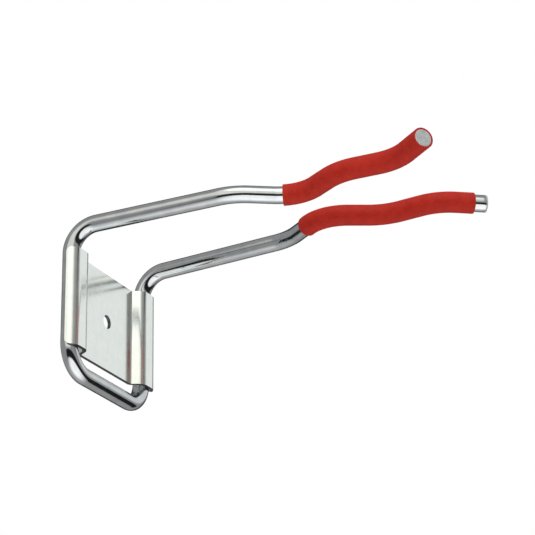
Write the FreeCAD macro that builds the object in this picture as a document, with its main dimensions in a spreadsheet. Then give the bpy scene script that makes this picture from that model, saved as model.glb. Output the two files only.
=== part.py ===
import FreeCAD, Part
import math
import os

import Sketcher

# A bicycle wall rack: one tube bent into two arms, two uprights and a bottom bar, held against the
# wall by a pressed steel plate whose hooked sides wrap the uprights. Soft sleeves cover the outer,
# wavy halves of the arms, and a plastic plug closes each end of the tube.
#
# Millimetres. +X is to the right facing the wall, +Y goes into the wall, +Z is up. The origin is the
# centre of the screw hole on the back of the plate.

V = FreeCAD.Vector
LEFT = -1
RIGHT = 1

DRIVING_SIZES = (
    # the bent tube
    ("tube_diameter", 18.0, "outside diameter of the frame's tube"),
    ("tube_wall", 1.5, "wall of the frame's tube"),
    ("upright_spacing", 145.0, "between the two uprights' centre lines"),
    ("corner_bend", 29.0, "centre-line radius of the four corners"),
    ("seat_overlap", 2.8, "top edge of the plate down to where the top corners' bends start"),
    ("bar_gap", 21.8, "bottom edge of the plate down to the bottom bar's centre line"),
    # the arms: each corner's step out from the one before, and how far it is inside its upright
    ("shoulder_step", 186.5, "uprights out to the shoulder, where the arms turn in"),
    ("shoulder_inset", 8.5, "upright's line in to the shoulder"),
    ("shoulder_bend", 59.0, "centre-line radius of the shoulder"),
    ("throat_step", 57.0, "shoulder out to the throat, the narrowest place"),
    ("throat_inset", 46.5, "upright's line in to the throat"),
    ("throat_bend", 44.0, "centre-line radius of the throat"),
    ("belly_step", 57.5, "throat out to the belly, where the straight outer stretch starts"),
    ("belly_inset", 14.5, "upright's line in to the belly"),
    ("belly_bend", 61.0, "centre-line radius of the belly"),
    ("neck_step", 61.0, "belly out to the neck, where the tips turn out"),
    ("neck_inset", 18.5, "upright's line in to the neck"),
    ("neck_bend", 52.0, "centre-line radius of the neck"),
    ("tip_step", 41.0, "neck out to the tips"),
    ("tip_outset", 11.5, "upright's line out to the tips"),
    # the sleeves
    ("sleeve_wall", 2.0, "wall of the soft sleeves"),
    ("sleeve_length", 187.0, "length of each sleeve along its arm"),
    ("sleeve_play", 0.05, "between the tube and a sleeve's bore"),
    ("bare_end", 13.5, "bare tube and plug past the right sleeve"),
    # the end plugs
    ("plug_head", 1.6, "thickness of a plug's head"),
    ("plug_round", 0.6, "rounding of the head's rim"),
    ("plug_length", 14.0, "length of a plug's shank inside the tube"),
    ("plug_core", 11.0, "diameter of the shank between its ribs"),
    ("plug_rib", 1.2, "thickness of one rib"),
    ("plug_ribs", 3, "number of ribs"),
    ("plug_play", 0.05, "between a rib and the tube's bore"),
    # the clamp plate
    ("plate_thickness", 4.0, "thickness of the pressed plate"),
    ("plate_height", 108.0, "height of the plate and its hooks"),
    ("plate_setback", 5.5, "back of the plate to the wall"),
    ("plate_bend", 4.5, "centre-line radius of the plate's bends at the risers' feet"),
    ("crest_bend", 10, "centre-line radius of the bends where the risers turn into the hooks"),
    ("riser_gap", 7.3, "between an upright and the slanted riser beside it"),
    ("riser_slant", 61.5, "slant of the risers from the plate, in degrees"),
    ("hook_play", 0.3, "between an upright and the hook round it"),
    ("lip_height", 2.0, "how far in front of the upright's centre line a hook ends"),
    ("lip_corner", 5.5, "rounding of the hooks' free corners"),
    ("screw_hole", 15.0, "diameter of the screw hole"),
)

doc = FreeCAD.newDocument("BicycleWallRack")
sizes = doc.addObject("Spreadsheet::Sheet", "Sizes")
for row, (alias, value, meaning) in enumerate(DRIVING_SIZES, start=1):
    sizes.set(f"A{row}", meaning)
    sizes.set(f"B{row}", str(value))
    sizes.setAlias(f"B{row}", alias)
doc.recompute()


def size(alias):
    return float(getattr(sizes, alias))


half_spacing = size("upright_spacing") / 2
tube_radius = size("tube_diameter") / 2
tube_y = size("plate_setback") - tube_radius
half_height = size("plate_height") / 2
arm_z = half_height - size("seat_overlap") + size("corner_bend")
bar_z = -half_height - size("bar_gap")


# ---- the bent tube's centre line ----


def arm_corners(side):
    """The corners of one arm, from the top of its upright out to its tip."""
    corners = [V(side * half_spacing, tube_y, arm_z)]
    reach = 0.0
    for place, inset in (
        ("shoulder", size("shoulder_inset")),
        ("throat", size("throat_inset")),
        ("belly", size("belly_inset")),
        ("neck", size("neck_inset")),
        ("tip", -size("tip_outset")),
    ):
        reach += size(place + "_step")
        corners.append(V(side * (half_spacing - inset), tube_y - reach, arm_z))
    return corners


def frame_corners():
    bottom = [V(-half_spacing, tube_y, bar_z), V(half_spacing, tube_y, bar_z)]
    return arm_corners(LEFT)[::-1] + bottom + arm_corners(RIGHT)


def frame_radii():
    arm = [size(place + "_bend") for place in ("neck", "belly", "throat", "shoulder")]
    return arm + [size("corner_bend")] * 4 + arm[::-1]


def bent_edges(corners, radii):
    """Straight runs joined by tangent arcs, with one radius for each corner between the ends."""
    edges = []
    start = corners[0]
    for before, corner, after, radius in zip(corners, corners[1:], corners[2:], radii):
        back = (before - corner).normalize()
        ahead = (after - corner).normalize()
        inward = (back + ahead).normalize()
        half_angle = back.getAngle(ahead) / 2
        cut_back = radius / math.tan(half_angle)
        to_arc = radius / math.sin(half_angle) - radius
        first = corner + back * cut_back
        last = corner + ahead * cut_back
        edges.append(Part.LineSegment(start, first).toShape())
        edges.append(Part.Arc(first, corner + inward * to_arc, last).toShape())
        start = last
    edges.append(Part.LineSegment(start, corners[-1]).toShape())
    return edges


def stretch(edges, start, finish):
    """The wire between two distances along a run of edges."""
    kept = []
    passed = 0.0
    for edge in edges:
        first = max(start - passed, 0.0)
        last = min(finish - passed, edge.Length)
        if last > first:
            ends = [edge.getParameterByLength(distance) for distance in (first, last)]
            kept.append(edge.Curve.toShape(*ends))
        passed += edge.Length
    return Part.Wire(kept)


def pose_along(point, direction):
    """A placement whose +Z runs along a direction."""
    return FreeCAD.Placement(point, FreeCAD.Rotation(V(0, 0, 1), direction))


# ---- hollow pieces swept along the centre line ----


def round_sweep(name, path, radius):
    """A solid round bar along a path. radius is an expression on the sheet."""
    section = doc.addObject("Part::Circle", name + "_section")
    section.setExpression("Radius", radius)
    first = path.Shape.Edges[0]
    begin = first.FirstParameter
    section.Placement = pose_along(first.valueAt(begin), first.tangentAt(begin))
    sweep = doc.addObject("Part::Sweep", name)
    sweep.Sections = [section]
    sweep.Spine = (path, [f"Edge{i + 1}" for i in range(len(path.Shape.Edges))])
    sweep.Solid = True
    return sweep


def hollow_sweep(label, wire, outside, inside):
    """A pipe along a wire, as a sweep with a smaller sweep cut from it."""
    path = doc.addObject("Part::Feature", label + "_path")
    path.Shape = wire
    pipe = doc.addObject("Part::Cut", label)
    pipe.Base = round_sweep(label + "_outside", path, outside)
    pipe.Tool = round_sweep(label + "_inside", path, inside)
    pipe.Label = label
    return pipe


centre_line = bent_edges(frame_corners(), frame_radii())
centre_length = sum(edge.Length for edge in centre_line)
tube_wire = stretch(centre_line, size("plug_head"), centre_length - size("plug_head"))
tube_frame = hollow_sweep(
    "tube_frame",
    tube_wire,
    "Sizes.tube_diameter / 2",
    "Sizes.tube_diameter / 2 - Sizes.tube_wall",
)


def make_sleeve(label, start):
    """A soft sleeve that starts at a distance along the centre line from the left tip."""
    return hollow_sweep(
        label,
        stretch(centre_line, start, start + size("sleeve_length")),
        "Sizes.tube_diameter / 2 + Sizes.sleeve_play + Sizes.sleeve_wall",
        "Sizes.tube_diameter / 2 + Sizes.sleeve_play",
    )


left_sleeve = make_sleeve("left_sleeve", 0.0)
right_sleeve = make_sleeve("right_sleeve", centre_length - size("bare_end") - size("sleeve_length"))


# ---- pieces built in bodies of their own ----


def origin_plane(body, role):
    for feature in body.Origin.OriginFeatures:
        if feature.Role == role:
            return feature
    raise ValueError(role)


def flat_sketch(body, name, role):
    sketch = body.newObject("Sketcher::SketchObject", name)
    sketch.AttachmentSupport = [(origin_plane(body, role), "")]
    sketch.MapMode = "FlatFace"
    return sketch


def bind(sketch, constraint, value, expression):
    """Adds one driving dimension to a sketch and ties it to the sheet."""
    index = sketch.addConstraint(Sketcher.Constraint(*constraint, value))
    sketch.setExpression(f"Constraints[{index}]", expression)


def centred_circle(sketch, radius, expression):
    circle = sketch.addGeometry(Part.Circle(V(0, 0, 0), V(0, 0, 1), radius), False)
    sketch.addConstraint(Sketcher.Constraint("Coincident", circle, 3, -1, 1))
    bind(sketch, ("Radius", circle), radius, expression)


def disc(body, name, radius, expression, thickness, reverse):
    """A round pad on the body's XY plane, above it or, when reversed, below it."""
    sketch = flat_sketch(body, name + "_outline", "XY_Plane")
    centred_circle(sketch, radius, expression)
    pad = body.newObject("PartDesign::Pad", name)
    pad.Profile = sketch
    pad.Reversed = reverse
    pad.setExpression("Length", thickness)
    return pad


def make_plug(label, edge_end, direction):
    """A ribbed plastic plug. Its XY plane is the tube's end face and +Z points out of the tube."""
    body = doc.addObject("PartDesign::Body", label)
    body.Label = label
    head = disc(body, label + "_head", tube_radius, "Sizes.tube_diameter / 2", "Sizes.plug_head", False)
    doc.recompute()
    rim = [
        f"Edge{i + 1}"
        for i, edge in enumerate(head.Shape.Edges)
        if abs(edge.BoundBox.ZMin - size("plug_head")) < 1e-6
    ]
    rounding = body.newObject("PartDesign::Fillet", label + "_rim")
    rounding.Base = (head, rim)
    rounding.setExpression("Radius", "Sizes.plug_round")
    disc(body, label + "_shank", size("plug_core") / 2, "Sizes.plug_core / 2", "Sizes.plug_length", True)
    rib_radius = tube_radius - size("tube_wall") - size("plug_play")
    rib_expression = "Sizes.tube_diameter / 2 - Sizes.tube_wall - Sizes.plug_play"
    rib = disc(body, label + "_rib", rib_radius, rib_expression, "Sizes.plug_rib", True)
    ribs = body.newObject("PartDesign::LinearPattern", label + "_ribs")
    ribs.Originals = [rib]
    ribs.Direction = (rib.Profile[0], ["N_Axis"])
    ribs.Reversed = True
    ribs.setExpression("Length", "Sizes.plug_length - Sizes.plug_rib")
    ribs.setExpression("Occurrences", "Sizes.plug_ribs")
    body.Tip = ribs
    body.Placement = pose_along(edge_end, direction)
    return body


first_edge = tube_wire.Edges[0]
last_edge = tube_wire.Edges[-1]
left_end_plug = make_plug(
    "left_end_plug",
    first_edge.valueAt(first_edge.FirstParameter),
    first_edge.tangentAt(first_edge.FirstParameter) * -1,
)
right_end_plug = make_plug(
    "right_end_plug",
    last_edge.valueAt(last_edge.LastParameter),
    last_edge.tangentAt(last_edge.LastParameter),
)


# ---- the clamp plate ----


def arc(centre, radius, first, last):
    circle = Part.Circle(centre, V(0, 0, 1), radius)
    return Part.ArcOfCircle(circle, math.radians(first), math.radians(last))


def half_section(body):
    """The bent centre line of the plate's right half, seen from above: flat, riser and hook."""
    slant = size("riser_slant")
    half_plate = size("plate_thickness") / 2
    bend = size("plate_bend")
    crest_radius = size("crest_bend")
    wrap = tube_radius + size("hook_play") + half_plate
    riser_offset = tube_radius + size("riser_gap") + half_plate
    along = V(math.cos(math.radians(slant)), -math.sin(math.radians(slant)), 0)
    tube = V(half_spacing, tube_y, 0)
    near = tube + V(along.y, -along.x, 0) * riser_offset
    foot = near + along * ((-half_plate - near.y) / along.y)
    crest = near + along * ((tube_y - wrap - near.y) / along.y)
    foot_cut = bend * math.tan(math.radians(slant / 2))
    crest_cut = crest_radius * math.tan(math.radians(slant / 2))
    flat_end = foot - V(foot_cut, 0, 0)
    hook_start = crest + V(crest_cut, 0, 0)
    hook_end = tube - V(0, wrap, 0)
    lip = -math.degrees(math.asin(size("lip_height") / wrap))

    sketch = flat_sketch(body, "plate_centre_line", "XY_Plane")
    flat, foot_bend, riser, crest_bend, front, hook = sketch.addGeometry(
        [
            Part.LineSegment(V(0, -half_plate, 0), flat_end),
            arc(flat_end - V(0, bend, 0), bend, 90 - slant, 90),
            Part.LineSegment(crest - along * crest_cut, foot + along * foot_cut),
            arc(hook_start + V(0, crest_radius, 0), crest_radius, 270 - slant, 270),
            Part.LineSegment(hook_start, hook_end),
            arc(tube, wrap, -90, lip),
        ],
        False,
    )
    start, end, centre = 1, 2, 3
    origin = (-1, 1)
    y_axis = -2
    for joint in (
        ("Tangent", flat, end, foot_bend, end),
        ("Tangent", foot_bend, start, riser, end),
        ("Tangent", riser, start, crest_bend, start),
        ("Tangent", crest_bend, end, front, start),
        ("Tangent", front, end, hook, start),
        ("Horizontal", flat),
        ("Horizontal", front),
        ("PointOnObject", flat, start, y_axis),
    ):
        sketch.addConstraint(Sketcher.Constraint(*joint))
    bind(sketch, ("DistanceY", flat, start, *origin), half_plate, "Sizes.plate_thickness / 2")
    bind(sketch, ("Radius", foot_bend), bend, "Sizes.plate_bend")
    bind(sketch, ("Radius", crest_bend), crest_radius, "Sizes.crest_bend")
    bind(sketch, ("DistanceX", *origin, hook, centre), half_spacing, "Sizes.upright_spacing / 2")
    bind(
        sketch,
        ("DistanceY", hook, centre, *origin),
        -tube_y,
        "Sizes.tube_diameter / 2 - Sizes.plate_setback",
    )
    bind(
        sketch,
        ("Radius", hook),
        wrap,
        "Sizes.tube_diameter / 2 + Sizes.hook_play + Sizes.plate_thickness / 2",
    )
    bind(sketch, ("DistanceY", hook, end, hook, centre), size("lip_height"), "Sizes.lip_height")
    bind(
        sketch,
        ("Distance", hook, centre, riser),
        riser_offset,
        "Sizes.tube_diameter / 2 + Sizes.riser_gap + Sizes.plate_thickness / 2",
    )
    bind(sketch, ("Angle", riser), math.radians(180 - slant), "(180 - Sizes.riser_slant) * 1 deg")
    return sketch


def plate_edge_section(body):
    """The plate's cut section in the middle, on the YZ plane: its thickness by its height."""
    thickness = size("plate_thickness")
    sketch = flat_sketch(body, "plate_edge_section", "YZ_Plane")
    corners = [
        V(-thickness, -half_height, 0),
        V(0, -half_height, 0),
        V(0, half_height, 0),
        V(-thickness, half_height, 0),
    ]
    bottom, back, top, front = [
        sketch.addGeometry(Part.LineSegment(here, there), False)
        for here, there in zip(corners, corners[1:] + corners[:1])
    ]
    sides = (bottom, back, top, front)
    for side, following in zip(sides, sides[1:] + sides[:1]):
        sketch.addConstraint(Sketcher.Constraint("Coincident", side, 2, following, 1))
    for constraint in (
        ("Horizontal", bottom),
        ("Horizontal", top),
        ("Vertical", front),
        ("PointOnObject", back, 1, -2),
        ("Symmetric", back, 1, back, 2, -1),
    ):
        sketch.addConstraint(Sketcher.Constraint(*constraint))
    bind(sketch, ("Distance", top), thickness, "Sizes.plate_thickness")
    bind(sketch, ("Distance", back), 2 * half_height, "Sizes.plate_height")
    return sketch


def make_clamp_plate():
    body = doc.addObject("PartDesign::Body", "clamp_plate")
    body.Label = "clamp_plate"
    centre_sketch = half_section(body)
    edge_sketch = plate_edge_section(body)
    doc.recompute()
    half = body.newObject("PartDesign::AdditivePipe", "plate_half")
    half.Profile = edge_sketch
    half.Spine = (centre_sketch, [f"Edge{i + 1}" for i in range(len(centre_sketch.Shape.Edges))])
    doc.recompute()
    whole = body.newObject("PartDesign::Mirrored", "plate_both_halves")
    whole.Originals = [half]
    whole.MirrorPlane = (origin_plane(body, "YZ_Plane"), [""])
    body.Tip = whole
    doc.recompute()
    hole_sketch = flat_sketch(body, "screw_hole_outline", "XZ_Plane")
    centred_circle(hole_sketch, size("screw_hole") / 2, "Sizes.screw_hole / 2")
    hole = body.newObject("PartDesign::Pocket", "screw_hole_cut")
    hole.Profile = hole_sketch
    hole.Type = "ThroughAll"
    hole.Midplane = True
    doc.recompute()
    cut_volume = whole.Shape.Volume - hole.Shape.Volume
    hole_volume = math.pi * (size("screw_hole") / 2) ** 2 * size("plate_thickness")
    if abs(cut_volume - hole_volume) > 0.01 * hole_volume:
        raise RuntimeError("the screw hole didn't go through the plate")
    lip_edges = [
        f"Edge{i + 1}"
        for i, edge in enumerate(hole.Shape.Edges)
        if abs(edge.Length - size("plate_thickness")) < 1e-3
    ]
    corners = body.newObject("PartDesign::Fillet", "lip_corners")
    corners.Base = (hole, lip_edges)
    corners.setExpression("Radius", "Sizes.lip_corner")
    body.Tip = corners
    return body


clamp_plate = make_clamp_plate()
doc.recompute()


# ---- checks and files ----

SUB_PARTS = (clamp_plate, tube_frame, left_sleeve, right_sleeve, left_end_plug, right_end_plug)

for thing in doc.Objects:
    if "Invalid" in thing.State or "Error" in thing.State:
        raise RuntimeError(f"{thing.Name} failed: {thing.State}")
for part in SUB_PARTS:
    if part.Shape.isNull() or not part.Shape.isValid() or len(part.Shape.Solids) != 1:
        raise RuntimeError(f"{part.Label} isn't one valid solid")

os.makedirs("parts", exist_ok=True)
for part in SUB_PARTS:
    part.Shape.exportStep(f"parts/{part.Label}.step")
    print(part.Label, round(part.Shape.Volume), "cubic mm")
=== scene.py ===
import math

import bmesh
import bpy
from mathutils import Matrix, Vector, noise


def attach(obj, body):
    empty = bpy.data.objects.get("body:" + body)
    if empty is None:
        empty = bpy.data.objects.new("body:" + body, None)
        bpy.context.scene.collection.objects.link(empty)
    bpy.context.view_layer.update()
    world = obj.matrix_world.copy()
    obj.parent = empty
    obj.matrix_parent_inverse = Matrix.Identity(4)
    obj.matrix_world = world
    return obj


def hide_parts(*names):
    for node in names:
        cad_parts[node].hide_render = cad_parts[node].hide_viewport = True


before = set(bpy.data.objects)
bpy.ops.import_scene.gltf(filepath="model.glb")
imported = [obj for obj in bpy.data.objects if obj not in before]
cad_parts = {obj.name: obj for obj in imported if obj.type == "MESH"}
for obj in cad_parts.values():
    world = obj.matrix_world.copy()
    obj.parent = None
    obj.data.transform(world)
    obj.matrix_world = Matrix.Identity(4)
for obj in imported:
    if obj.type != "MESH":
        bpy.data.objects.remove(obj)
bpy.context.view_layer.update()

# sizes are in millimetres and angles in degrees; +X is right facing the wall, +Y into it, +Z up
mm = 0.001
tiny = 1e-6  # metres; closer than this is the same place


def linear(hexCode):
    # sRGB hex to the linear colour that Blender's sockets take
    parts = [int(hexCode[i:i + 2], 16) / 255 for i in (1, 3, 5)]
    return [p / 12.92 if p <= 0.04045 else ((p + 0.055) / 1.055) ** 2.4 for p in parts] + [1.0]


def node(tree, kind, inputs=None, **settings):
    # adds a node; an input is a value, or the output socket that it is linked from
    made = tree.nodes.new(kind)
    for name, value in settings.items():
        setattr(made, name, value)
    for key, source in (inputs or {}).items():
        if isinstance(source, bpy.types.NodeSocket):
            tree.links.new(source, made.inputs[key])
        else:
            made.inputs[key].default_value = source
    return made


# the camera stands below the rack and to its left, and looks up at it
camera = {
    "aim": (31.9, -179.7, 37.6),
    "azimuth": 63.65,
    "tilt": 23.64,
    "roll": -1.22,
    "distance": 1993.1,
    "lens": 128.1,
    "sensor": 36,
}

cameraData = bpy.data.cameras.new("camera")
cameraData.lens = camera["lens"]
cameraData.sensor_width = camera["sensor"]
cameraObject = bpy.data.objects.new("camera", cameraData)
bpy.context.scene.collection.objects.link(cameraObject)
cameraObject.matrix_world = (
    Matrix.Translation(Vector(camera["aim"]) * mm)
    @ Matrix.Rotation(math.radians(-camera["azimuth"]), 4, "Z")
    @ Matrix.Rotation(math.radians(90 + camera["tilt"]), 4, "X")
    @ Matrix.Rotation(math.radians(camera["roll"]), 4, "Z")
    @ Matrix.Translation((0, 0, camera["distance"] * mm))
)
bpy.context.scene.camera = cameraObject
bpy.context.scene.view_settings.view_transform = "Standard"
print("camera placed")


# the studio: a pale floor far below, a white backdrop, and large soft panels round the rack
studio = {
    "floorHeight": -1150,
    "floorSize": 60000,
    "floorColour": "#EEEEEC",
    "floorRoughness": 0.8,
    "backdrop": 1.0,
    "fill": 0.40,
    "darkest": 0.02,
    "softEdge": 4,
    # each panel: where it hangs (azimuth from +Y towards +X, and elevation), its half width to the
    # inner and outer edge of its soft border, the elevations that it spans, and the light it adds;
    # dark cards take light away
    "panels": (
        ("leftPanel", -104, 26, 31, 47, -5, 90, (0.70, 0.69, 0.60)),
        ("frontTopPanel", -118, 48, 14, 30, 20, 90, (0.95, 0.95, 0.95)),
        ("frontFloorPanel", -150, -62, 20, 62, -90, -36, (1.1, 1.1, 1.1)),
        ("wallFloorPanel", 30, -70, 15, 50, -90, -36, (0.22, 0.22, 0.21)),
        ("rightPanel", 124, 30, 16, 34, -5, 90, (0.49, 0.51, 0.51)),
        ("frontGap", 176, 22, 8, 24, -10, 90, (-0.12, -0.12, -0.12)),
        ("horizonCard", -165, -22, 70, 92, -32, -12, (-1.6, -1.6, -1.6)),
        ("farCard", 62, 24, 28, 50, -36, 90, (-0.36, -0.36, -0.35)),
    ),
}

floorMesh = bpy.data.meshes.new("floor")
bm = bmesh.new()
bmesh.ops.create_grid(bm, x_segments=1, y_segments=1, size=studio["floorSize"] * mm / 2)
bmesh.ops.translate(bm, verts=bm.verts, vec=(0, 0, studio["floorHeight"] * mm))
bm.to_mesh(floorMesh)
bm.free()
floor = bpy.data.objects.new("floor", floorMesh)
bpy.context.scene.collection.objects.link(floor)
floorPaint = bpy.data.materials.new("matt_floor_paint")
floorPaint.use_nodes = True
paint = floorPaint.node_tree.nodes["Principled BSDF"].inputs
paint["Base Color"].default_value = linear(studio["floorColour"])
paint["Roughness"].default_value = studio["floorRoughness"]
floorMesh.materials.append(floorPaint)
floor.visible_glossy = False
floor.visible_diffuse = False

world = bpy.data.worlds.new("studio")
bpy.context.scene.world = world
world.use_nodes = True
air = world.node_tree
air.nodes.clear()
looking = node(air, "ShaderNodeTexCoord").outputs["Generated"]
height = node(air, "ShaderNodeSeparateXYZ", {0: looking}).outputs["Z"]


def border(value, start, finish):
    # a soft border: 0 before the start and 1 past the finish
    limits = {"Value": value, "From Min": start, "From Max": finish}
    return node(air, "ShaderNodeMapRange", limits, interpolation_type="SMOOTHSTEP").outputs["Result"]


def directionOf(azimuth, elevation):
    a, e = math.radians(azimuth), math.radians(elevation)
    return math.sin(a) * math.cos(e), math.cos(a) * math.cos(e), math.sin(e)


light = node(air, "ShaderNodeCombineXYZ", {axis: studio["fill"] for axis in range(3)}).outputs[0]
for name, azimuth, elevation, inner, outer, lowest, highest, colour in studio["panels"]:
    facing = node(
        air, "ShaderNodeVectorMath", {0: looking, 1: directionOf(azimuth, elevation)},
        operation="DOT_PRODUCT", label=name,
    )
    panel = border(facing.outputs["Value"], *(math.cos(math.radians(a)) for a in (outer, inner)))
    for limit, upper in ((lowest, False), (highest, True)):
        if abs(limit) == 90:
            continue
        ends = (limit - studio["softEdge"], limit + studio["softEdge"])
        edge = border(height, *(math.sin(math.radians(end)) for end in ends))
        if upper:
            edge = node(air, "ShaderNodeMath", {0: 1.0, 1: edge}, operation="SUBTRACT").outputs[0]
        panel = node(air, "ShaderNodeMath", {0: panel, 1: edge}, operation="MULTIPLY").outputs[0]
    light = node(
        air, "ShaderNodeVectorMath", {0: panel, 1: colour, 2: light}, operation="MULTIPLY_ADD"
    ).outputs[0]
darkest = (studio["darkest"],) * 3
light = node(air, "ShaderNodeVectorMath", {0: light, 1: darkest}, operation="MAXIMUM").outputs[0]
soft = node(air, "ShaderNodeBackground", {"Color": light, "Strength": 1.0})
white = node(air, "ShaderNodeBackground", {"Color": (1, 1, 1, 1), "Strength": studio["backdrop"]})
seen = node(air, "ShaderNodeLightPath").outputs["Is Camera Ray"]
mixed = node(air, "ShaderNodeMixShader", {0: seen, 1: soft.outputs[0], 2: white.outputs[0]})
node(air, "ShaderNodeOutputWorld", {0: mixed.outputs[0]})
print("studio lit")


# the bent stock: straight runs and bends, shared by the tube, its sleeves and the plate


def bendPlan(corners, radii):
    # each move is a run or a bend, with where it starts along the straight stock
    plan = []
    start, along = corners[0], 0.0
    for before, corner, after, radius in zip(corners, corners[1:], corners[2:], radii):
        back = (before - corner).normalized()
        ahead = (after - corner).normalized()
        turn = math.pi - back.angle(ahead)
        cutBack = radius * math.tan(turn / 2)
        first = corner + back * cutBack
        run = (first - start).length
        plan.append({"start": along, "length": run, "from": start, "heading": -back, "turn": 0.0})
        along += run
        inward = (back + ahead).normalized()
        plan.append({
            "start": along,
            "length": radius * turn,
            "from": first,
            "heading": -back,
            "turn": turn,
            "centre": corner + inward * radius / math.cos(turn / 2),
            "axis": ahead.cross(back).normalized(),
        })
        along += radius * turn
        start = corner + ahead * cutBack
    last = (corners[-1] - start).length
    heading = (corners[-1] - corners[-2]).normalized()
    plan.append({"start": along, "length": last, "from": start, "heading": heading, "turn": 0.0})
    return plan


def planLength(plan):
    return plan[-1]["start"] + plan[-1]["length"]


def placeAt(plan, distance):
    # the point and heading of the bent centre line at a distance along the stock
    move = [m for m in plan if m["start"] <= distance + 1e-9][-1]
    passed = distance - move["start"]
    if not move["turn"]:
        return move["from"] + move["heading"] * passed, move["heading"]
    swing = Matrix.Rotation(move["turn"] * passed / move["length"], 3, move["axis"])
    return move["centre"] + swing @ (move["from"] - move["centre"]), swing @ move["heading"]


def standAt(point, heading):
    # the matrix that carries something upright on the origin to a point, facing a heading
    return Matrix.Translation(point) @ heading.to_track_quat("Z", "X").to_matrix().to_4x4()


straightStride = 3  # runs take steps this many times longer than bends do


def drawTube(bm, plan, radius, first, last, sides, step):
    # a ring at the first place, extruded along the runs and carried round the bends;
    # every vertex keeps its place on the straight stock for the material's draw lines
    layers = bm.verts.layers.float_vector
    stock = layers.get("stock") or layers.new("stock")
    verts = bmesh.ops.create_circle(bm, segments=sides, radius=radius)["verts"]
    for vert in verts:
        vert[stock] = (vert.co.x, vert.co.y, first)
    bmesh.ops.transform(bm, matrix=standAt(*placeAt(plan, first)), verts=verts)
    edges = list({edge for vert in verts for edge in vert.link_edges})
    startEdges = edges
    for move in plan:
        begin = max(first, move["start"])
        finish = min(last, move["start"] + move["length"])
        if finish - begin < tiny:
            continue
        steps = math.ceil((finish - begin) / (step if move["turn"] else step * straightStride))
        stride = (finish - begin) / steps
        for number in range(steps):
            grown = bmesh.ops.extrude_edge_only(bm, edges=edges)["geom"]
            verts = [item for item in grown if isinstance(item, bmesh.types.BMVert)]
            fresh = set(verts)
            edges = [
                item for item in grown
                if isinstance(item, bmesh.types.BMEdge) and fresh.issuperset(item.verts)
            ]
            if move["turn"]:
                swing = Matrix.Rotation(move["turn"] * stride / move["length"], 3, move["axis"])
                bmesh.ops.rotate(bm, verts=verts, cent=move["centre"], matrix=swing)
            else:
                bmesh.ops.translate(bm, verts=verts, vec=move["heading"] * stride)
            for vert in verts:
                vert[stock] = (*vert[stock].xy, begin + stride * (number + 1))
    return startEdges, edges


def closeWalls(bm, outer, inner, rim):
    # joins the two skins of a pipe at both ends and breaks the sharp rims
    rims = []
    for outerEdges, innerEdges in zip(outer, inner):
        innerVerts = {vert for edge in innerEdges for vert in edge.verts}
        outerVerts = {vert for edge in outerEdges for vert in edge.verts}
        grown = bmesh.ops.extrude_edge_only(bm, edges=outerEdges)["geom"]
        joined = {
            vert: min(innerVerts, key=lambda other: (other.co - vert.co).length)
            for vert in grown if isinstance(vert, bmesh.types.BMVert)
        }
        bmesh.ops.weld_verts(bm, targetmap=joined)
        rims += [outerVerts, innerVerts]
    bmesh.ops.recalc_face_normals(bm, faces=bm.faces)
    edges = [edge for edge in bm.edges if any(rimVerts.issuperset(edge.verts) for rimVerts in rims)]
    bmesh.ops.bevel(
        bm, geom=edges, offset=rim, segments=3, profile=0.5, affect="EDGES", material=-1
    )


def finishPiece(name, bm, material, body, replaced):
    for face in bm.faces:
        face.smooth = True
    mesh = bpy.data.meshes.new(name)
    bm.to_mesh(mesh)
    bm.free()
    mesh.materials.append(material)
    piece = bpy.data.objects.new(name, mesh)
    bpy.context.scene.collection.objects.link(piece)
    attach(piece, body)
    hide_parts(replaced)
    print(name, "made,", len(mesh.polygons), "faces")
    return piece


def newMaterial(name):
    material = bpy.data.materials.new(name)
    material.use_nodes = True
    tree = material.node_tree
    return material, tree, tree.nodes["Principled BSDF"]


def twoTone(tree, factor, low, lowColour, high, highColour):
    # a colour that runs between two tones, linked from a pattern
    ramp = node(tree, "ShaderNodeValToRGB", {"Fac": factor})
    for stop, place, tone in zip(ramp.color_ramp.elements, (low, high), (lowColour, highColour)):
        stop.position, stop.color = place, linear(tone)
    return ramp.outputs["Color"]


def blend(tree, first, share, second):
    # two patterns added in shares that make 1
    part = {0: first, 1: share, 2: 0.0}
    part = node(tree, "ShaderNodeMath", part, operation="MULTIPLY_ADD").outputs[0]
    whole = {0: second, 1: 1 - share, 2: part}
    return node(tree, "ShaderNodeMath", whole, operation="MULTIPLY_ADD").outputs[0]


# the bent tube
tube = {
    "outside": 17.98,  # a hair under the CAD's 18, whose facets cut its corners
    "wall": 1.5,
    "sides": 64,
    "step": 1.3,
    "innerStep": 6,
    "uprights": 72.5,
    "depth": -3.5,
    "armHeight": 80.2,
    "barHeight": -75.8,
    "cornerBend": 29,
    # reach from the uprights, distance from the middle, and bend radius of each arm's corners
    "armCorners": ((186.5, 64, 59), (243.5, 26, 44), (301, 58, 61), (362, 54, 52), (403, 84, 0)),
    "plugHead": 1.6,
    "rim": 0.25,
}
# the marks that the bending shoe leaves inside each corner: where along the bend from the upright's
# side, length along it, width across it, and depth; each fades from "flat" of its size out to "edge"
shoe = {
    "marks": ((0.14, 6.0, 7.0, 0.40), (0.62, 14, 6.5, 0.22)),
    "flat": 0.55,
    "edge": 1.3,
    "reach": 14,
    "margin": 10,
}


def armPoints(side):
    return [
        Vector((side * spread, tube["depth"] - reach, tube["armHeight"])) * mm
        for reach, spread, bend in tube["armCorners"]
    ]


def uprightPoint(side, height):
    return Vector((side * tube["uprights"], tube["depth"], height)) * mm


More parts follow.
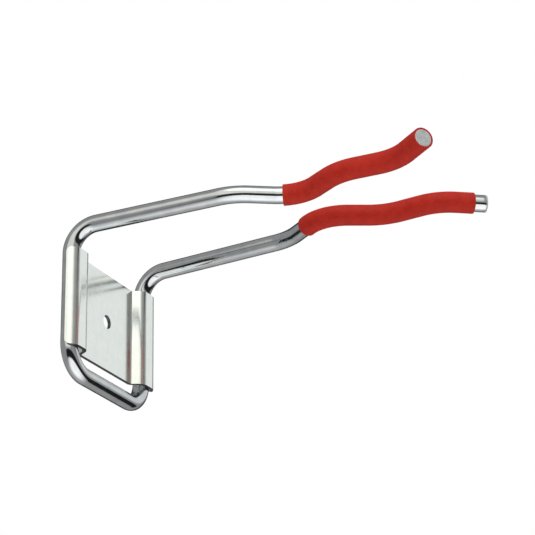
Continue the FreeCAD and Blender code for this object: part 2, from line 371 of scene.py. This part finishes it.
tubeCorners = armPoints(-1)[::-1]
for side, end in ((-1, "armHeight"), (-1, "barHeight"), (1, "barHeight"), (1, "armHeight")):
    tubeCorners.append(uprightPoint(side, tube[end]))
tubeCorners += armPoints(1)
armBends = [bend * mm for reach, spread, bend in tube["armCorners"][:-1]]
cornerRadius = tube["cornerBend"] * mm
tubePlan = bendPlan(tubeCorners, armBends[::-1] + [cornerRadius] * 4 + armBends)
stockLength = planLength(tubePlan)
cornerBends = [
    move for move in tubePlan
    if move["turn"] and abs(move["length"] / move["turn"] - cornerRadius) < tiny
]


def zincTube():
    # bright zinc plate over drawn steel: a cool, clear mirror, with faint lines along the tube from
    # drawing it, cloudy patches in the plate, and scuffed grey marks where the bender's shoe pressed
    material, tree, shader = newMaterial("bright_zinc_plated_drawn_tube")
    stock = node(tree, "ShaderNodeAttribute", attribute_name="stock").outputs["Vector"]
    mark = node(tree, "ShaderNodeAttribute", attribute_name="shoeMark").outputs["Fac"]
    # draw lines about 0.7 mm apart and 60 mm long
    lines = node(tree, "ShaderNodeMapping", {"Vector": stock, "Scale": (1400, 1400, 16)})
    draw = {"Vector": lines.outputs[0], "Scale": 1.0, "Detail": 3.0, "Roughness": 0.6}
    draw = node(tree, "ShaderNodeTexNoise", draw).outputs["Fac"]
    # clouds about 12 mm across
    clouds = {"Vector": stock, "Scale": 85.0, "Detail": 4.0, "Roughness": 0.55}
    clouds = node(tree, "ShaderNodeTexNoise", clouds).outputs["Fac"]
    # scuffs about 1 mm across, only inside the shoe's marks
    scuffs = {"Vector": stock, "Scale": 900.0, "Detail": 2.0, "Roughness": 0.7}
    scuffs = node(tree, "ShaderNodeTexNoise", scuffs).outputs["Fac"]
    worn = node(tree, "ShaderNodeMath", {0: mark, 1: scuffs}, operation="MULTIPLY").outputs[0]
    plated = twoTone(tree, clouds, 0.35, "#BEC2C6", 0.68, "#CED0CF")
    tint = {"Factor": worn, "A": plated, "B": linear("#8C9096")}
    tint = node(tree, "ShaderNodeMix", tint, data_type="RGBA").outputs["Result"]
    tree.links.new(tint, shader.inputs["Base Color"])
    gloss = {"Value": clouds, "From Min": 0.3, "From Max": 0.75, "To Min": 0.07, "To Max": 0.12}
    gloss = node(tree, "ShaderNodeMapRange", gloss).outputs["Result"]
    gloss = {0: worn, 1: 0.35, 2: gloss}
    gloss = node(tree, "ShaderNodeMath", gloss, operation="MULTIPLY_ADD").outputs[0]
    tree.links.new(gloss, shader.inputs["Roughness"])
    shader.inputs["Metallic"].default_value = 1.0
    fine = {"Height": draw, "Strength": 0.10, "Distance": 0.02 * mm}
    fine = node(tree, "ShaderNodeBump", fine).outputs[0]
    coarse = {"Height": worn, "Strength": 0.6, "Distance": 0.12 * mm, "Normal": fine}
    tree.links.new(node(tree, "ShaderNodeBump", coarse).outputs[0], shader.inputs["Normal"])
    return material


bm = bmesh.new()
shoeMark = bm.verts.layers.float.new("shoeMark")
tubeEnds = (tube["plugHead"] * mm, stockLength - tube["plugHead"] * mm)
tubeRadius = tube["outside"] / 2 * mm
outerEnds = drawTube(bm, tubePlan, tubeRadius, *tubeEnds, tube["sides"], tube["step"] * mm)
stock = bm.verts.layers.float_vector["stock"]
for number, bend in enumerate(cornerBends):
    margin = shoe["margin"] * mm
    bendVerts = [
        vert for vert in bm.verts
        if -margin < vert[stock].z - bend["start"] < bend["length"] + margin
    ]
    for place, length, width, depth in shoe["marks"]:
        share = place if number in (1, 3) else 1 - place
        middle, heading = placeAt(tubePlan, bend["start"] + share * bend["length"])
        inward = (bend["centre"] - middle).normalized()
        target = middle + inward * tubeRadius
        across = heading.cross(inward)
        for vert in bendVerts:
            gap = vert.co - target
            if gap.length > shoe["reach"] * mm:
                continue
            away = math.hypot(gap.dot(heading) * 2 / length, gap.dot(across) * 2 / width) / mm
            press = (shoe["edge"] - away) / (shoe["edge"] - shoe["flat"])
            press = min(1, max(0, press))
            press = press * press * (3 - 2 * press)
            vert[shoeMark] = max(vert[shoeMark], press)
            vert.co -= inward * depth * mm * press
boreRadius = tubeRadius - tube["wall"] * mm
innerEnds = drawTube(bm, tubePlan, boreRadius, *tubeEnds, tube["sides"], tube["innerStep"] * mm)
closeWalls(bm, outerEnds, innerEnds, tube["rim"] * mm)
finishPiece("bent_tube", bm, zincTube(), "frame", "tube_frame")


# the soft sleeves
sleeve = {
    "outside": 22.1,
    "bore": 18.1,
    "length": 187,
    "bareEnd": 13.5,
    "sides": 64,
    "step": 1.6,
    "innerStep": 6,
    "rim": 0.55,
    "slack": 0.10,
    "unevenness": 45,  # per metre, so about 22 mm from swell to swell
}


def sleeveVinyl():
    # dipped soft PVC: an even satin red with a faint orange-peel skin and slightly darker clouds,
    # which shades softly and shows no sharp reflection
    material, tree, shader = newMaterial("dipped_satin_red_vinyl")
    stock = node(tree, "ShaderNodeAttribute", attribute_name="stock").outputs["Vector"]
    # clouds about 8 mm across
    clouds = {"Vector": stock, "Scale": 120.0, "Detail": 3.0, "Roughness": 0.6}
    clouds = node(tree, "ShaderNodeTexNoise", clouds).outputs["Fac"]
    # orange peel about 1.2 mm across
    peel = {"Vector": stock, "Scale": 800.0, "Detail": 2.0, "Roughness": 0.6}
    peel = node(tree, "ShaderNodeTexNoise", peel).outputs["Fac"]
    shade = blend(tree, clouds, 0.7, peel)
    tint = twoTone(tree, shade, 0.36, "#CC2A1C", 0.66, "#DE3727")
    tree.links.new(tint, shader.inputs["Base Color"])
    gloss = {"Value": clouds, "From Min": 0.3, "From Max": 0.7, "To Min": 0.52, "To Max": 0.66}
    gloss = node(tree, "ShaderNodeMapRange", gloss).outputs["Result"]
    tree.links.new(gloss, shader.inputs["Roughness"])
    shader.inputs["IOR"].default_value = 1.53
    shader.inputs["Specular IOR Level"].default_value = 0.2
    bump = {"Height": peel, "Strength": 0.5, "Distance": 0.08 * mm}
    tree.links.new(node(tree, "ShaderNodeBump", bump).outputs[0], shader.inputs["Normal"])
    return material


redVinyl = sleeveVinyl()
rightBegin = stockLength - (sleeve["bareEnd"] + sleeve["length"]) * mm
for side, begin in (("left", 0.0), ("right", rightBegin)):
    bm = bmesh.new()
    ends = (begin, begin + sleeve["length"] * mm)
    skin, bore = sleeve["outside"] / 2 * mm, sleeve["bore"] / 2 * mm
    outerEnds = drawTube(bm, tubePlan, skin, *ends, sleeve["sides"], sleeve["step"] * mm)
    stock = bm.verts.layers.float_vector["stock"]
    for vert in bm.verts:
        # the soft wall is a little uneven, and never thicker than it was moulded
        middle = placeAt(tubePlan, vert[stock].z)[0]
        thinner = (noise.noise(vert[stock] * sleeve["unevenness"]) - 1) / 2
        vert.co += (vert.co - middle).normalized() * thinner * sleeve["slack"] * mm
    innerEnds = drawTube(bm, tubePlan, bore, *ends, sleeve["sides"], sleeve["innerStep"] * mm)
    closeWalls(bm, outerEnds, innerEnds, sleeve["rim"] * mm)
    finishPiece(side + "_vinyl_sleeve", bm, redVinyl, "frame", side + "_sleeve")


# the end plugs
plug = {
    "sides": 72,
    # radius and height of the turned outline, from the middle of the face to where the shank starts
    "face": (
        (0, 1.45), (5.6, 1.5), (7.6, 1.6), (8.4, 1.6), (8.7, 1.52), (8.92, 1.3), (9, 1.0), (9, 0),
    ),
    "ribHeights": (0, -6.4, -12.8),
    "rib": 1.2,
    "ribRadius": 7.45,
    "coreRadius": 5.5,
    "sharp": 60,
    "edgeRound": 0.12,
}


def plugPlastic():
    # moulded grey polypropylene: matt and pale, with a fine speckle and faint flow clouds
    material, tree, shader = newMaterial("moulded_grey_polypropylene")
    place = node(tree, "ShaderNodeTexCoord").outputs["Object"]
    # speckle about 0.8 mm across, and clouds about 4 mm across
    speckle = {"Vector": place, "Scale": 1300.0, "Detail": 3.0, "Roughness": 0.7}
    speckle = node(tree, "ShaderNodeTexNoise", speckle).outputs["Fac"]
    clouds = {"Vector": place, "Scale": 260.0, "Detail": 2.0, "Roughness": 0.5}
    clouds = node(tree, "ShaderNodeTexNoise", clouds).outputs["Fac"]
    tint = twoTone(tree, blend(tree, speckle, 0.5, clouds), 0.34, "#C2C8CA", 0.64, "#E6EAEB")
    tree.links.new(tint, shader.inputs["Base Color"])
    gloss = {"Value": speckle, "To Min": 0.45, "To Max": 0.65}
    gloss = node(tree, "ShaderNodeMapRange", gloss).outputs["Result"]
    tree.links.new(gloss, shader.inputs["Roughness"])
    shader.inputs["IOR"].default_value = 1.49
    bump = {"Height": speckle, "Strength": 0.4, "Distance": 0.05 * mm}
    tree.links.new(node(tree, "ShaderNodeBump", bump).outputs[0], shader.inputs["Normal"])
    return material


greyPlastic = plugPlastic()
outline = list(plug["face"])
for top, nextTop in zip(plug["ribHeights"], plug["ribHeights"][1:] + (None,)):
    below = top - plug["rib"]
    outline += [(plug["ribRadius"], top), (plug["ribRadius"], below)]
    outline.append((plug["coreRadius"] if nextTop is not None else 0, below))
    if nextTop is not None:
        outline.append((plug["coreRadius"], nextTop))
for side, distance, facing in (("left", tubeEnds[0], -1), ("right", tubeEnds[1], 1)):
    bm = bmesh.new()
    verts = [bm.verts.new((radius * mm, 0, height * mm)) for radius, height in outline]
    for here, there in zip(verts, verts[1:]):
        bm.edges.new((here, there))
    bmesh.ops.spin(
        bm, geom=bm.verts[:] + bm.edges[:], cent=(0, 0, 0), axis=(0, 0, 1), angle=math.tau,
        steps=plug["sides"], use_merge=True,
    )
    bmesh.ops.remove_doubles(bm, verts=bm.verts, dist=tiny)
    bmesh.ops.recalc_face_normals(bm, faces=bm.faces)
    sharp = math.radians(plug["sharp"])
    edges = [edge for edge in bm.edges if edge.is_manifold and edge.calc_face_angle() > sharp]
    bmesh.ops.bevel(
        bm, geom=edges, offset=plug["edgeRound"] * mm, segments=2, profile=0.5, affect="EDGES",
        material=-1,
    )
    point, heading = placeAt(tubePlan, distance)
    bmesh.ops.transform(bm, verts=bm.verts, matrix=standAt(point, heading * facing))
    finishPiece(side + "_plastic_plug", bm, greyPlastic, "frame", side + "_end_plug")


# the clamp plate: a flat blank with its corners rounded and its hole punched, then bent
plate = {
    "thickness": 4,
    "height": 108,
    # corners of the bent centre line seen from above: the middle, the riser's foot and crest, and
    # round the upright to the hook's free edge; then the radius at each corner between them
    "corners": ((0, -2), (50.862, -2), (57.812, -14.8), (81.949, -14.8), (83.621, -5.5)),
    "bends": (4.5, 10, 11.3),
    "cuts": (8, 8, 18),
    "lipCorner": 5.5,
    "lipCornerCuts": 8,
    "hole": 7.5,
    "holeSides": 48,
    "holeFrame": 14,
    "edgeRound": 1.1,
    "edgeCuts": 4,
    "sharp": 50,
}
plateCorners = [Vector((x, y, 0)) * mm for x, y in plate["corners"]]
platePlan = bendPlan(plateCorners, [bend * mm for bend in plate["bends"]])
halfBlank = planLength(platePlan)


def platedSheet():
    # zinc plate on cold-rolled sheet: a paler, softer shine than the tube's, with cloudy spangle
    # and a fine grain from rolling
    material, tree, shader = newMaterial("zinc_plated_rolled_sheet")
    place = node(tree, "ShaderNodeTexCoord").outputs["Object"]
    # clouds about 9 mm across
    clouds = {"Vector": place, "Scale": 110.0, "Detail": 5.0, "Roughness": 0.6}
    clouds = node(tree, "ShaderNodeTexNoise", clouds).outputs["Fac"]
    # a grain about 0.9 mm across and 6 mm long
    grainMap = node(tree, "ShaderNodeMapping", {"Vector": place, "Scale": (1100, 1100, 160)})
    grain = {"Vector": grainMap.outputs[0], "Scale": 1.0, "Detail": 3.0, "Roughness": 0.65}
    grain = node(tree, "ShaderNodeTexNoise", grain).outputs["Fac"]
    tint = twoTone(tree, blend(tree, grain, 0.35, clouds), 0.36, "#E2E7E5", 0.66, "#EEF0EA")
    tree.links.new(tint, shader.inputs["Base Color"])
    shader.inputs["Metallic"].default_value = 1.0
    gloss = {"Value": clouds, "From Min": 0.3, "From Max": 0.7, "To Min": 0.13, "To Max": 0.18}
    gloss = node(tree, "ShaderNodeMapRange", gloss).outputs["Result"]
    tree.links.new(gloss, shader.inputs["Roughness"])
    bump = {"Height": grain, "Strength": 0.12, "Distance": 0.02 * mm}
    tree.links.new(node(tree, "ShaderNodeBump", bump).outputs[0], shader.inputs["Normal"])
    return material


def shearedEdgeWithPaintedShade():
    # the cut edges of the sheet: thin zinc over torn steel, so a dull, darker grey with a coarse,
    # uneven tear; part of that darkness is painted shade, standing in for the shade inside the
    # punched hole
    material, tree, shader = newMaterial("zinc_plated_sheared_edge_with_painted_shade")
    place = node(tree, "ShaderNodeTexCoord").outputs["Object"]
    # the tear is about 0.6 mm across
    tears = {"Vector": place, "Scale": 1600.0, "Detail": 3.0, "Roughness": 0.7}
    tears = node(tree, "ShaderNodeTexNoise", tears).outputs["Fac"]
    # the dark end of this grey is painted shade for the shaded wall of the punched hole
    tint = twoTone(tree, tears, 0.35, "#3E4143", 0.68, "#85898B")
    tree.links.new(tint, shader.inputs["Base Color"])
    shader.inputs["Metallic"].default_value = 1.0
    gloss = {"Value": tears, "To Min": 0.26, "To Max": 0.45}
    gloss = node(tree, "ShaderNodeMapRange", gloss).outputs["Result"]
    tree.links.new(gloss, shader.inputs["Roughness"])
    bump = {"Height": tears, "Strength": 0.4, "Distance": 0.05 * mm}
    tree.links.new(node(tree, "ShaderNodeBump", bump).outputs[0], shader.inputs["Normal"])
    return material


def cutAcross(bm, place, direction):
    everything = bm.verts[:] + bm.edges[:] + bm.faces[:]
    bmesh.ops.bisect_plane(bm, geom=everything, dist=tiny, plane_co=place, plane_no=direction)


bm = bmesh.new()
bmesh.ops.create_grid(bm, x_segments=1, y_segments=1, size=1)
bmesh.ops.scale(bm, verts=bm.verts, vec=(halfBlank, plate["height"] / 2 * mm, 1))
bmesh.ops.bevel(
    bm, geom=bm.verts[:], offset=plate["lipCorner"] * mm, segments=plate["lipCornerCuts"],
    profile=0.5, affect="VERTICES", material=-1,
)
frameHalf = plate["holeFrame"] * mm
for sign in (-1, 1):
    cutAcross(bm, (sign * frameHalf, 0, 0), (1, 0, 0))
    cutAcross(bm, (0, sign * frameHalf, 0), (0, 1, 0))
# the square in the middle makes room for the round hole
centreFace = min(bm.faces, key=lambda face: face.calc_center_median().length)
square = list(centreFace.edges)
bmesh.ops.delete(bm, geom=[centreFace], context="FACES_ONLY")
bmesh.ops.subdivide_edges(bm, edges=square, cuts=plate["holeSides"] // 4 - 1)
squareReach = frameHalf + tiny
loop = [
    edge for edge in bm.edges
    if edge.is_boundary
    and all(max(abs(vert.co.x), abs(vert.co.y)) < squareReach for vert in edge.verts)
]
ring = bmesh.ops.create_circle(bm, segments=plate["holeSides"], radius=plate["hole"] * mm)["verts"]
ringEdges = list({edge for vert in ring for edge in vert.link_edges})
bmesh.ops.bridge_loops(bm, edges=loop + ringEdges)
plateBends = [move for move in platePlan if move["turn"]]
for move, cuts in zip(plateBends, plate["cuts"]):
    for number in range(cuts + 1):
        distance = move["start"] + move["length"] * number / cuts
        if distance < halfBlank - tiny:
            for sign in (-1, 1):
                cutAcross(bm, (sign * distance, 0, 0), (1, 0, 0))
# the press: each vertex moves from the flat blank to its place on the bent line
for vert in bm.verts:
    side = -1 if vert.co.x < 0 else 1
    point = placeAt(platePlan, min(abs(vert.co.x), halfBlank))[0]
    vert.co = (side * point.x, point.y, vert.co.y)
bmesh.ops.recalc_face_normals(bm, faces=bm.faces)
clampPlate = finishPiece(
    "pressed_clamp_plate", bm, platedSheet(), "bracket", "clamp_plate"
)
# the cut edges take the sheared-edge grey, darkened with painted shade
clampPlate.data.materials.append(shearedEdgeWithPaintedShade())
wall = clampPlate.modifiers.new("sheet", "SOLIDIFY")
wall.thickness = plate["thickness"] * mm
wall.offset = 0
wall.use_even_offset = True
wall.material_offset_rim = 1
rounding = clampPlate.modifiers.new("edges", "BEVEL")
rounding.width = plate["edgeRound"] * mm
rounding.segments = plate["edgeCuts"]
rounding.limit_method = "ANGLE"
rounding.angle_limit = math.radians(plate["sharp"])
rounding.profile = 0.5
shading = clampPlate.modifiers.new("shading", "WEIGHTED_NORMAL")
shading.keep_sharp = True
